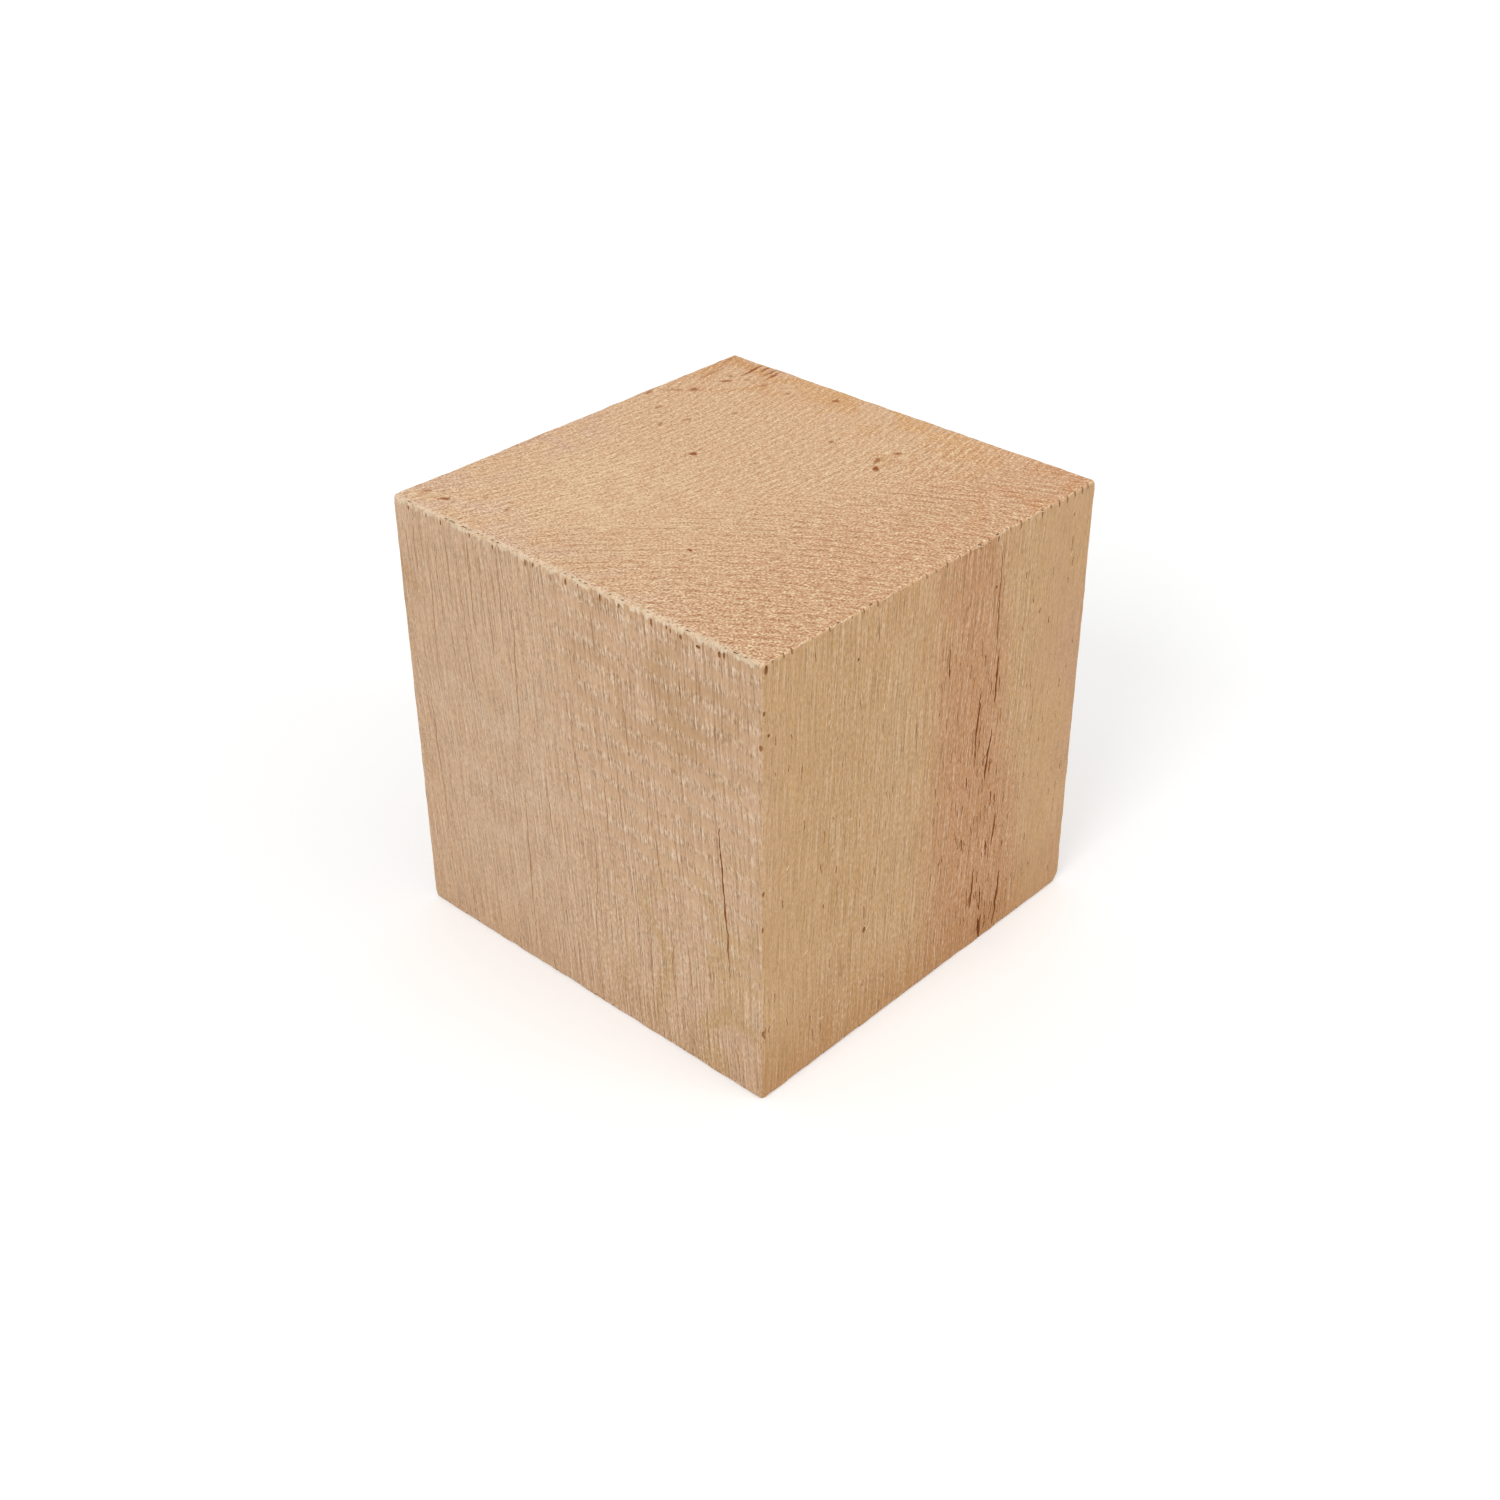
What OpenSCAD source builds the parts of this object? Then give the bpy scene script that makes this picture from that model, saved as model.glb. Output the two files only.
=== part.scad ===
// Plain wooden cube: one solid block sawn from square stock, with the grain upright.
// Its edges are eased, its corners are dubbed, and drying checks follow the heart streak.
// The origin is at the centre of the base and +Z runs up along the grain.
// The sawn face looks along -X and the checked face along -Y. They meet at the front edge.

/* [Block] */
// Width of the checked face, along X
block_w = 60; // [50:0.5:100]
// Width of the sawn face, along Y
block_d = 60; // [50:0.5:100]
// Height along the grain, along Z
block_h = 60; // [50:0.5:100]

/* [Edges] */
// Radius of the four upright edges, which run with the grain
upright_edge_r = 0.3; // [0.2:0.05:3]
// Radius of the eight edges round the two end-grain faces
end_edge_r = 0.4; // [0.2:0.05:3]
// How far each corner is knocked back along the diagonal
corner_dub = 0.6; // [0.2:0.05:2]
// How far the worn corner, at the foot of the checked face, is knocked back
worn_corner_dub = 1.1; // [0.2:0.05:3]

/* [Drying checks] */
// Distance of the heart streak from the middle of the checked face
streak_x = 12; // [4:0.5:18]
// Distance of the sawn face's own check from the front edge
sawn_check_inset = 5; // [3:0.5:20]
// How many times deeper than its mouth a check runs
check_depth_ratio = 4; // [2:0.5:8]

/* [Edge nicks] */
// Radius of the scoop that each nick leaves in the front edge
nick_r = 0.8; // [0.4:0.05:2]
// Depth of a nick below the eased front edge
nick_depth = 0.35; // [0.1:0.05:0.8]

/* [Hidden] */
$fn = 96;

wood_colour = [0.80, 0.65, 0.50];

// The deepest that a short check may run, as a share of its length
short_check_depth = 0.25;

// Heart-streak checks: low end's offset from the streak, low end, high end, mouth, lean in degrees
STREAK_CHECKS = [
    [-0.1, 36.0, 43.0, 0.45,  3],
    [-3.4, 28.0, 40.5, 0.40,  2],
    [-1.0, 25.0, 33.0, 0.45,  6],
    [-4.8, 25.5, 28.0, 0.25,  2],
    [ 0.6, 20.5, 23.5, 0.30,  0],
    [ 1.4, 14.0, 19.5, 0.40,  7],
    [-4.8, 16.5, 19.0, 0.25, -6],
    [-3.0, 18.0, 20.0, 0.25,  0],
    [ 0.5, 13.0, 16.0, 0.30, -5],
    [-2.3,  6.0, 13.0, 0.45,  3],
    [ 0.4, -2.5,  4.5, 0.60, -2],
    [ 2.9,  0.5,  9.5, 0.55,  6],
    [-9.5, 43.5, 48.5, 0.25,  0]
];

// The sawn face's check: low end, high end, mouth, lean in degrees
SAWN_CHECK = [14.0, 37.5, 0.40, -4];

// Heights of the nicks in the front edge
NICK_HEIGHTS = [10.0, 49.7];

// The worn corner, seen from the middle of the block
worn_corner = [block_w / 2, -block_d / 2, -block_h / 2];
half_diagonal = norm(worn_corner);

// A rectangle with round corners, centred on the origin
module rounded_rectangle(across, up, r) {
    square([across - 2 * r, up], center = true);
    square([across, up - 2 * r], center = true);
    for (sx = [-1, 1], sy = [-1, 1])
        translate([sx * (across / 2 - r), sy * (up / 2 - r)]) circle(r);
}

// The block with its twelve edges eased, one pair of faces at a time, and its corners dubbed.
// One sphere dubs all eight corners alike, and one round the far corner takes more off the worn one.
module eased_block() {
    translate([0, 0, block_h / 2]) intersection() {
        linear_extrude(block_h, center = true) rounded_rectangle(block_w, block_d, upright_edge_r);
        rotate([90, 0, 90])
            linear_extrude(block_w, center = true) rounded_rectangle(block_d, block_h, end_edge_r);
        rotate([90, 0, 0])
            linear_extrude(block_d, center = true) rounded_rectangle(block_w, block_h, end_edge_r);
        sphere(half_diagonal - corner_dub);
        translate(-worn_corner) sphere(2 * half_diagonal - worn_corner_dub);
    }
}

// The cut of one drying check in the plane y = 0, opening along -Y and standing on the origin.
// It is the rim of a disc that thins to a sharp edge, so it is widest and deepest half way along.
module check_cut(length, mouth) {
    depth = min(mouth * check_depth_ratio, length * short_check_depth);
    disc_r = (length * length / 4 + depth * depth) / (2 * depth);
    half_hub = mouth / 2 * disc_r / depth;
    translate([0, depth - disc_r, length / 2]) rotate([0, 90, 0]) rotate_extrude()
        polygon([[0, -half_hub], [disc_r, 0], [0, half_hub]]);
}

module streak_checks() {
    for (c = STREAK_CHECKS)
        translate([streak_x + c[0], -block_d / 2, c[1]]) rotate([0, c[4], 0])
            check_cut(c[2] - c[1], c[3]);
}

module sawn_check() {
    c = SAWN_CHECK;
    translate([-block_w / 2, sawn_check_inset - block_d / 2, c[0]]) rotate([0, 0, -90])
        rotate([0, c[3], 0]) check_cut(c[1] - c[0], c[2]);
}

// Scoops out of the front edge, each centred on the diagonal that halves the edge
module front_edge_nicks() {
    crest_inset = upright_edge_r * (1 - sqrt(1 / 2));
    scoop_inset = crest_inset - (nick_r - nick_depth) * sqrt(1 / 2);
    for (z = NICK_HEIGHTS)
        translate([scoop_inset - block_w / 2, scoop_inset - block_d / 2, z]) sphere(nick_r);
}

module wooden_cube() {
    color(wood_colour) difference() {
        eased_block();
        streak_checks();
        sawn_check();
        front_edge_nicks();
    }
}

wooden_cube();
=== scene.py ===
import math
from typing import NamedTuple

import bmesh
import bpy
import numpy as np
from bpy.props import FloatProperty, FloatVectorProperty, IntProperty, PointerProperty
from mathutils import Matrix, Vector, noise


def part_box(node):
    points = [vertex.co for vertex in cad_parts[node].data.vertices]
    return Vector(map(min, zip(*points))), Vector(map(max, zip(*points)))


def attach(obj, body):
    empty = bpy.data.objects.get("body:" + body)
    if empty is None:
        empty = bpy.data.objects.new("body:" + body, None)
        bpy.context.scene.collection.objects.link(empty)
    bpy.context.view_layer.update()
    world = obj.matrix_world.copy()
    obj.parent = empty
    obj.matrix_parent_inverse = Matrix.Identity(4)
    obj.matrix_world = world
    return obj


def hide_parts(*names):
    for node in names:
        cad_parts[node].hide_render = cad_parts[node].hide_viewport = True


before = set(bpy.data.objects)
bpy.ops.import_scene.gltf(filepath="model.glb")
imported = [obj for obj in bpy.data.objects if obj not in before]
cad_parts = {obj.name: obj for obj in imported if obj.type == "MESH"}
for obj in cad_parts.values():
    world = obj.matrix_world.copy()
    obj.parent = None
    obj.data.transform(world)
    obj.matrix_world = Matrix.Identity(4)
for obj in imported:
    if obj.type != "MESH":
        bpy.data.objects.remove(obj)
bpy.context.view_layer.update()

bl_info = {
    "name": "Wooden Cube",
    "version": (1, 0, 0),
    "blender": (4, 5, 0),
    "location": "3D View > Sidebar > Wooden Cube",
    "description": "Builds a sawn wooden cube with drying checks, torn arrises and loose fibres",
    "category": "Object",
}

MM = 0.001
CUBE = "wooden_cube"
LOW, HIGH = (np.array(corner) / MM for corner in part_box(CUBE))
WIDTH, DEPTH, HEIGHT = (float(side) for side in HIGH - LOW)

# How far the wood's surface lies below the tips of its loose fibres, in mm
SKIN = 0.06
HALF = np.array((WIDTH, DEPTH, HEIGHT)) / 2 - SKIN
TOP = HEIGHT - SKIN


def srgb(red, green, blue):
    """A colour given from 0 to 255, as the linear values that shaders use."""
    shares = (np.array((red, green, blue)) / 255 + 0.055) / 1.055
    return tuple(float(share) for share in shares ** 2.4)


def number_property(name, description, default, **kind):
    """A number that a user may change."""
    return FloatProperty(name=name, description=description, default=default, **kind)


def tone_property(name, description, red, green, blue):
    """A tone that a user may change."""
    default = srgb(red, green, blue)
    return FloatVectorProperty(name=name, description=description, subtype="COLOR", default=default)


class Face(NamedTuple):
    """A face of the block, seen from outside: the middle of its lower edge, and three directions."""

    foot: tuple
    across: tuple
    up: tuple
    out: tuple

    def points(self, across, up, out):
        """Places on the face, raised from it by out, in the block's own frame."""
        flat = np.outer(across, self.across) + np.outer(up, self.up)
        return flat + np.outer(out, self.out) + self.foot


SAWN = Face((-HALF[0], 0, 0), (0, -1, 0), (0, 0, 1), (-1, 0, 0))
CHECKED = Face((0, -HALF[1], 0), (1, 0, 0), (0, 0, 1), (0, -1, 0))
RIGHT = Face((HALF[0], 0, 0), (0, 1, 0), (0, 0, 1), (1, 0, 0))
REAR = Face((0, HALF[1], 0), (-1, 0, 0), (0, 0, 1), (0, 1, 0))

# Drying checks: face, across at the low end, low end, high end, mouth, lean in degrees
CHECKS = [
    (CHECKED, 11.9, 36.0, 43.6, 0.45, 3),
    (CHECKED, 8.6, 28.0, 40.5, 0.38, 2),
    (CHECKED, 11.0, 25.0, 33.2, 0.45, 6),
    (CHECKED, 7.2, 25.5, 28.2, 0.28, 2),
    (CHECKED, 12.6, 20.5, 23.6, 0.30, 0),
    (CHECKED, 13.4, 14.0, 19.6, 0.38, 7),
    (CHECKED, 7.2, 16.5, 19.0, 0.26, -6),
    (CHECKED, 9.0, 18.0, 20.0, 0.24, 0),
    (CHECKED, 12.5, 13.0, 16.0, 0.34, -5),
    (CHECKED, 9.7, 6.0, 12.8, 0.40, 3),
    (CHECKED, 12.4, -2.5, 4.2, 0.62, -2),
    (CHECKED, 11.9, 4.4, 9.4, 0.30, -3),
    (CHECKED, 14.9, 0.5, 9.6, 0.48, 6),
    (CHECKED, 2.5, 43.5, 48.5, 0.22, 0),
    (CHECKED, 11.7, 42.5, 59.0, 0.18, 0),
    (SAWN, 25.0, 15.5, 37.0, 0.30, -4),
]

# Torn fibre lines, which are finer than the checks, with the same columns
FIBRE_LINES = [
    (SAWN, -9.5, 33.5, 55.0, 0.22, 0),
    (SAWN, -9.5, 0.5, 27.5, 0.20, 0),
    (SAWN, 1.5, 25.0, 44.0, 0.20, -7),
    (SAWN, 5.6, 22.0, 40.0, 0.18, -4),
    (SAWN, 7.8, 28.5, 38.5, 0.18, -3),
    (SAWN, 9.4, 40.0, 46.5, 0.18, -5),
    (SAWN, 11.9, 0.5, 20.0, 0.17, 0),
    (SAWN, 12.0, 28.0, 36.0, 0.17, 0),
    (SAWN, 14.3, 23.0, 32.0, 0.20, -8),
    (SAWN, 16.3, 2.5, 20.0, 0.18, -3),
    (SAWN, 19.3, 8.5, 17.5, 0.18, -7),
    (SAWN, 17.2, 25.5, 34.0, 0.18, -7),
    (SAWN, 2.3, 7.5, 28.0, 0.16, 1),
    (SAWN, 4.5, 51.0, 57.0, 0.18, -5),
    (SAWN, -4.4, 20.5, 31.0, 0.16, -6),
    (SAWN, -25.5, 12.5, 34.0, 0.20, -3),
    (SAWN, -26.6, 50.0, 57.5, 0.18, 0),
    (SAWN, -24.2, 35.0, 57.5, 0.16, 0),
    (SAWN, -18.0, 37.0, 58.0, 0.16, -3),
    (SAWN, -14.4, 47.0, 59.0, 0.18, -3),
    (SAWN, -12.2, 50.5, 57.0, 0.16, -7),
    (SAWN, -16.4, 46.0, 58.5, 0.20, -2),
    (SAWN, -13.3, 43.0, 56.0, 0.18, -3),
    (SAWN, -11.0, 46.0, 58.0, 0.18, -3),
    (SAWN, -20.4, 49.0, 58.0, 0.18, -2),
    (SAWN, -22.4, 44.0, 57.0, 0.16, -2),
    (SAWN, 20.9, 50.5, 58.0, 0.20, -4),
    (SAWN, 7.2, 3.5, 9.0, 0.18, 0),
    (SAWN, 26.5, 0.8, 6.0, 0.20, -8),
    (SAWN, -21.6, 0.8, 6.0, 0.18, -2),
    (CHECKED, -19.5, 31.5, 34.2, 0.22, 0),
    (CHECKED, -15.8, 28.5, 32.0, 0.20, 0),
    (CHECKED, -17.5, 17.0, 26.0, 0.16, 5),
    (CHECKED, -11.9, 16.5, 19.2, 0.22, 2),
    (CHECKED, -11.0, 54.0, 58.5, 0.20, 0),
    (CHECKED, -3.2, 35.0, 42.0, 0.16, 0),
    (CHECKED, 2.3, 30.5, 33.0, 0.24, 0),
    (CHECKED, 2.0, 44.5, 47.5, 0.20, 0),
    (CHECKED, 2.4, 19.5, 21.8, 0.20, 0),
    (CHECKED, 6.8, 17.2, 18.8, 0.26, 2),
    (CHECKED, 10.4, 16.5, 21.5, 0.22, -3),
    (CHECKED, 4.8, 35.0, 37.5, 0.18, 0),
    (CHECKED, 6.0, 32.0, 36.5, 0.18, 0),
    (CHECKED, -29.5, 8.8, 11.2, 0.50, 3),
    (CHECKED, -28.9, 9.6, 11.0, 0.35, 12),
    (CHECKED, -20.9, 3.0, 6.0, 0.24, -4),
    (CHECKED, -19.6, 3.2, 6.2, 0.24, 3),
    (CHECKED, -16.0, 5.0, 6.8, 0.22, 3),
    (CHECKED, -8.3, 0.6, 2.6, 0.22, 0),
    (CHECKED, 17.5, 2.4, 5.6, 0.26, 2),
    (CHECKED, 26.0, 51.0, 54.5, 0.28, 0),
    (CHECKED, 20.5, 30.5, 35.0, 0.16, -3),
]

# Pits and chips: face, across, up, width, height
PITS = [
    (SAWN, 29.75, 49.7, 0.50, 0.80),
    (SAWN, -27.1, 59.1, 0.30, 0.60),
    (SAWN, -23.8, 59.2, 0.28, 0.50),
    (SAWN, -21.2, 59.1, 0.30, 0.70),
    (SAWN, -16.0, 59.2, 0.26, 0.60),
    (SAWN, -12.0, 59.1, 0.30, 0.60),
    (SAWN, -6.4, 59.0, 0.30, 0.90),
    (SAWN, -5.1, 59.2, 0.26, 0.60),
    (SAWN, 0.3, 59.0, 0.34, 0.90),
    (SAWN, 2.3, 59.2, 0.26, 0.50),
    (SAWN, 5.8, 59.0, 0.34, 1.00),
    (SAWN, 8.8, 59.1, 0.28, 0.60),
    (SAWN, 13.8, 58.9, 0.36, 1.00),
    (SAWN, 16.1, 59.2, 0.28, 0.50),
    (SAWN, 16.7, 59.0, 0.26, 0.60),
    (SAWN, 18.2, 58.8, 0.45, 0.55),
    (SAWN, 20.8, 58.6, 0.70, 0.45),
    (SAWN, 23.9, 58.9, 0.45, 0.80),
    (SAWN, 24.6, 59.0, 0.35, 0.90),
    (CHECKED, -29.3, 59.1, 0.60, 1.10),
    (CHECKED, -29.75, 10.2, 0.40, 0.90),
    (CHECKED, -29.7, 30.4, 0.35, 0.70),
    (CHECKED, -29.8, 25.4, 0.30, 0.90),
    (CHECKED, -29.6, 53.9, 0.40, 0.60),
    (CHECKED, -11.8, 15.2, 0.60, 0.80),
    (CHECKED, 10.8, 52.9, 0.45, 0.45),
    (CHECKED, -28.9, 50.9, 0.40, 0.40),
    (CHECKED, -14.3, 53.9, 0.40, 0.40),
    (SAWN, -27.0, 0.2, 0.60, 0.50),
    (SAWN, -23.5, 0.2, 0.45, 0.60),
    (SAWN, -21.0, 0.2, 0.40, 0.50),
    (SAWN, -5.8, 0.2, 0.60, 0.60),
    (SAWN, 1.5, 0.2, 0.50, 0.60),
    (SAWN, 4.5, 0.2, 0.45, 0.50),
    (SAWN, 17.0, 0.2, 0.40, 0.50),
    (CHECKED, -23.5, 0.2, 0.60, 0.50),
    (CHECKED, -18.8, 0.2, 0.40, 0.40),
    (CHECKED, -12.0, 0.2, 0.50, 0.50),
    (CHECKED, -3.4, 0.2, 0.45, 0.40),
    (CHECKED, 3.0, 0.2, 0.55, 0.50),
    (CHECKED, 17.4, 0.2, 0.45, 0.50),
    (CHECKED, 20.6, 0.2, 0.60, 0.50),
]

# Short ticks on parts of the checked face, where single fibres pulled out:
# left end, right end, low end, high end, longest tick, share of the places that have one
TICKS = [
    (1.0, 14.0, 2.0, 50.0, 3.2, 0.36),
    (16.0, 28.5, 2.0, 55.0, 2.2, 0.14),
    (-28.5, 0.0, 2.0, 55.0, 2.2, 0.06),
]

# Notches that the saw tore in the checked face's top edge: across, drop, width
NOTCHES = [
    (-28.2, 0.6, 0.30),
    (-26.5, 0.8, 0.40),
    (-25.2, 0.9, 0.45),
    (-23.8, 0.5, 0.30),
    (-22.0, 0.4, 0.25),
    (-19.2, 0.7, 0.35),
    (-17.4, 0.4, 0.25),
    (-15.6, 0.5, 0.25),
    (-13.5, 0.8, 0.35),
    (-11.2, 1.0, 0.40),
    (-10.0, 0.6, 0.30),
    (-7.6, 0.5, 0.25),
    (-5.2, 0.5, 0.30),
    (-2.8, 0.9, 0.35),
    (-1.2, 0.7, 0.30),
    (1.0, 0.9, 0.40),
    (3.2, 0.5, 0.25),
    (5.2, 1.0, 0.40),
    (7.2, 1.2, 0.40),
    (8.8, 0.9, 0.40),
    (10.5, 1.3, 0.45),
    (12.8, 0.7, 0.35),
    (15.0, 1.2, 0.45),
    (16.5, 0.9, 0.35),
    (19.2, 1.3, 0.45),
    (20.8, 0.7, 0.35),
    (22.5, 1.2, 0.45),
    (24.2, 1.3, 0.40),
    (25.8, 1.0, 0.40),
    (27.2, 1.2, 0.45),
    (28.4, 0.9, 0.40),
]

# Loose splinters that catch the light: face, across, up, length, lean in degrees
SPLINTERS = [
    (CHECKED, -19.2, 47.6, 0.8, 30),
    (CHECKED, -9.8, 45.0, 1.3, 14),
    (CHECKED, -15.6, 33.2, 1.2, 98),
    (CHECKED, -26.0, 31.6, 0.8, 50),
    (CHECKED, -22.9, 17.9, 1.0, 62),
    (CHECKED, -11.4, 14.9, 0.8, 40),
    (CHECKED, -17.5, 10.4, 0.8, 120),
    (CHECKED, -20.0, 6.2, 1.2, 96),
    (CHECKED, 26.2, 50.9, 1.0, 4),
    (SAWN, 26.3, 43.3, 1.6, 12),
    (SAWN, 26.6, 42.4, 1.1, 150),
    (SAWN, 25.9, 32.2, 1.3, 160),
    (SAWN, 27.0, 32.9, 1.2, 10),
    (SAWN, -26.4, 51.6, 0.9, 150),
    (SAWN, -14.6, 22.8, 0.9, 70),
    (SAWN, 2.2, 57.2, 1.0, 80),
]


class BlockSettings(bpy.types.PropertyGroup):
    """Sizes of the block's edges and cuts, and the tones of its wood."""

    upright_edge: number_property("Upright edge", "Radius of the edges along the grain, in mm", 0.28)
    end_edge: number_property("End edge", "Radius of the edges round the end grain, in mm", 0.38)
    corner_dub: number_property("Corner dub", "How far each corner is knocked back, in mm", 0.3)
    worn_corner_dub: number_property("Worn corner", "How far the worn corner is knocked back, in mm", 0.75)
    check_ratio: number_property("Check depth", "Depth of a drying check in multiples of its mouth", 2.2)
    line_ratio: number_property("Line depth", "Depth of a torn line in multiples of its mouth", 0.5)
    tick_ratio: number_property("Tick depth", "Depth of a short tick in multiples of its mouth", 1.2)
    notch_pitch: number_property("Notch pitch", "Distance between notches out of view, in mm", 1.6)
    # The face tones hold the wood's own colour and part of the light's cast, painted in: cooler on the
    # sawn face, warmer on the checked face
    sawn_tone: tone_property("Sawn face", "Tone of the sawn face", 207, 172, 139)
    checked_tone: tone_property(
        "Checked face", "Tone of the checked face beside the heart streak", 203, 163, 117
    )
    heart_tone: tone_property("Heart streak", "Tone of the heart streak", 197, 147, 104)
    end_tone: tone_property("End grain", "Tone of the end grain", 218, 177, 140)
    plain_tone: tone_property("Other sides", "Tone of the two other sides", 196, 163, 128)
    wall_tone: tone_property("Check walls", "Tone inside checks, splits and ticks", 168, 104, 56)
    torn_tone: tone_property("Torn lines", "Tone inside torn fibre lines and notches", 176, 137, 100)
    hollow_tone: tone_property("Hollows", "Tone inside pits and chips", 160, 112, 70)


class FibreSettings(bpy.types.PropertyGroup):
    """Sizes and tone of the loose fibres."""

    sawn_count: IntProperty(
        name="Sawn side", description="Loose fibres along the sawn face's upper arris", default=220
    )
    checked_count: IntProperty(
        name="Checked side",
        description="Loose fibres along the checked face's upper arris",
        default=60,
    )
    length: number_property("Length", "Usual length of a loose fibre, in mm", 1.0)
    thickness: number_property("Thickness", "Thickness of a loose fibre, in mm", 0.14)
    splinter_scale: number_property("Splinters", "Thickness of a splinter in multiples of a fibre's", 2.0)
    tone: tone_property("Tone", "Tone of the loose fibres", 226, 200, 166)


class StageSettings(bpy.types.PropertyGroup):
    """The camera, the lamps and the floor."""

    azimuth: number_property(
        "Azimuth", "Direction of view round the block", math.radians(-47.16), subtype="ANGLE"
    )
    elevation: number_property("Elevation", "Height of the view", math.radians(32.87), subtype="ANGLE")
    roll: number_property("Roll", "Tilt of the frame", math.radians(-0.23), subtype="ANGLE")
    distance: number_property(
        "Distance", "From the camera to the block's middle", 0.26028, unit="LENGTH"
    )
    aim_right: number_property(
        "Aim right", "How far right of the block's middle the camera looks", 0.00036, unit="LENGTH"
    )
    aim_up: number_property(
        "Aim up", "How far above the block's middle the camera looks", -0.00648, unit="LENGTH"
    )
    lens: number_property("Lens", "Focal length of the camera, in mm", 48.69)
    sky: number_property("Sky", "Strength of the even light from all round", 0.72)
    key: number_property("Key lamp", "Power of the soft lamp at the upper left", 32.0, unit="POWER")
    fill: number_property("Fill lamp", "Power of the soft lamp at the right", 20.0, unit="POWER")
    floor_tone: tone_property("Floor", "Tone of the floor", 236, 236, 236)


class Value:
    """A shader node's output. Arithmetic on it adds Math nodes."""

    def __init__(self, finish, socket):
        self.finish = finish
        self.socket = socket

    def math(self, operation, *terms):
        return self.finish.node("ShaderNodeMath", {"operation": operation}, dict(enumerate(terms)))

    def __add__(self, other):
        return self.math("ADD", self, other)

    def __sub__(self, other):
        return self.math("SUBTRACT", self, other)

    def __rsub__(self, other):
        return self.math("SUBTRACT", other, self)

    def __mul__(self, other):
        return self.math("MULTIPLY", self, other)

    __radd__ = __add__
    __rmul__ = __mul__

    def sine(self):
        return self.math("SINE", self)

    def larger(self, other):
        return self.math("MAXIMUM", self, other)

    def rise(self, low, high):
        """0 up to low and 1 from high on, with a smooth climb between. Low may be above high."""
        settings = {"interpolation_type": "SMOOTHSTEP"}
        if low < high:
            sockets = {"Value": self, "From Min": low, "From Max": high}
        else:
            sockets = {"Value": self, "From Min": high, "From Max": low, "To Min": 1.0, "To Max": 0.0}
        return self.finish.node("ShaderNodeMapRange", settings, sockets)


# Raw wood shines less than the shader's usual 0.5
SPECULAR = 0.25


class Finish:
    """A material, or the world's light, and the nodes that make it."""

    def __init__(self, owner):
        owner.use_nodes = True
        self.owner = owner
        self.tree = owner.node_tree
        self.tree.nodes.clear()

    def node(self, kind, settings=None, sockets=None, output=0):
        """Adds a node, with its settings first and then the values or links of its sockets."""
        made = self.tree.nodes.new(kind)
        for name, setting in (settings or {}).items():
            setattr(made, name, setting)
        for name, given in (sockets or {}).items():
            if isinstance(given, Value):
                self.tree.links.new(given.socket, made.inputs[name])
            else:
                made.inputs[name].default_value = given
        return Value(self, made.outputs[output]) if made.outputs else None

    def vector(self, operation, *terms, output=0, **sockets):
        named = {**dict(enumerate(terms)), **sockets}
        return self.node("ShaderNodeVectorMath", {"operation": operation}, named, output)

    def join(self, x, y, z=0.0):
        return self.node("ShaderNodeCombineXYZ", sockets={"X": x, "Y": y, "Z": z})

    def split(self, vector):
        return [self.node("ShaderNodeSeparateXYZ", sockets={0: vector}, output=axis) for axis in "XYZ"]

    def noise(self, vector, detail=1.0, dimensions="3D", output="Fac"):
        sockets = {"Vector": vector, "Scale": 1.0, "Detail": detail, "Roughness": 0.55}
        return self.node("ShaderNodeTexNoise", {"noise_dimensions": dimensions}, sockets, output)

    def flat_noise(self, x, y, detail=1.0):
        return self.noise(self.join(x, y), detail, "2D")

    def mix(self, amount, colour, tone):
        sockets = {0: amount, 6: colour, 7: (*tone, 1)}
        return self.node("ShaderNodeMix", {"data_type": "RGBA"}, sockets, 2)

    def spot(self, place, centre, half, turn=0.0, core=0.3):
        """A soft oval mask round a centre: 1 within the core, 0 from its rim on."""
        sockets = {
            "Vector": place,
            "Location": (*centre, 0),
            "Rotation": (0, 0, math.radians(turn)),
            "Scale": (*half, 1),
        }
        local = self.node("ShaderNodeMapping", {"vector_type": "TEXTURE"}, sockets)
        return self.vector("LENGTH", local, output="Value").rise(1.0, core)

    def surface(self, colour, roughness, height=None, bump=0.0):
        """Ends the material in a matt wood surface, with relief from a height in millimetres."""
        sockets = {"Base Color": colour, "Roughness": roughness, "Specular IOR Level": SPECULAR}
        if height is not None:
            relief = {"Strength": bump, "Distance": MM, "Height": height}
            sockets["Normal"] = self.node("ShaderNodeBump", sockets=relief)
        shader = self.node("ShaderNodeBsdfPrincipled", sockets=sockets)
        self.node("ShaderNodeOutputMaterial", sockets={"Surface": shader})
        return self.owner


class Grain(NamedTuple):
    """Where a point lies in the block, in mm, plain and with the lean of the grain taken out."""

    x: Value
    y: Value
    z: Value
    gx: Value
    gy: Value


# How far the grain leans for each mm of height, and how far it sways from straight, in mm
GRAIN_LEAN_X = 0.045
GRAIN_LEAN_Y = 0.075
GRAIN_SWAY = 1.6


def grain_of(f):
    """The block's own coordinates, which every face's finish shares."""
    place = f.node("ShaderNodeTexCoord", output="Object")
    x, y, z = f.split(f.vector("SCALE", place, Scale=1 / MM))
    sway = (f.noise(f.join(x * 0.05, y * 0.05, z * 0.045)) - 0.5) * GRAIN_SWAY
    return Grain(x, y, z, x - z * GRAIN_LEAN_X + sway, y - z * GRAIN_LEAN_Y + sway)


def fibres(f, across, up, width, length, seed, detail=1.0):
    """Noise about 0, drawn out along the grain, in fibres of about the given width and length in mm."""
    return f.flat_noise(across * (1 / width), up * (1 / length) + seed, detail) - 0.5


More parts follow.
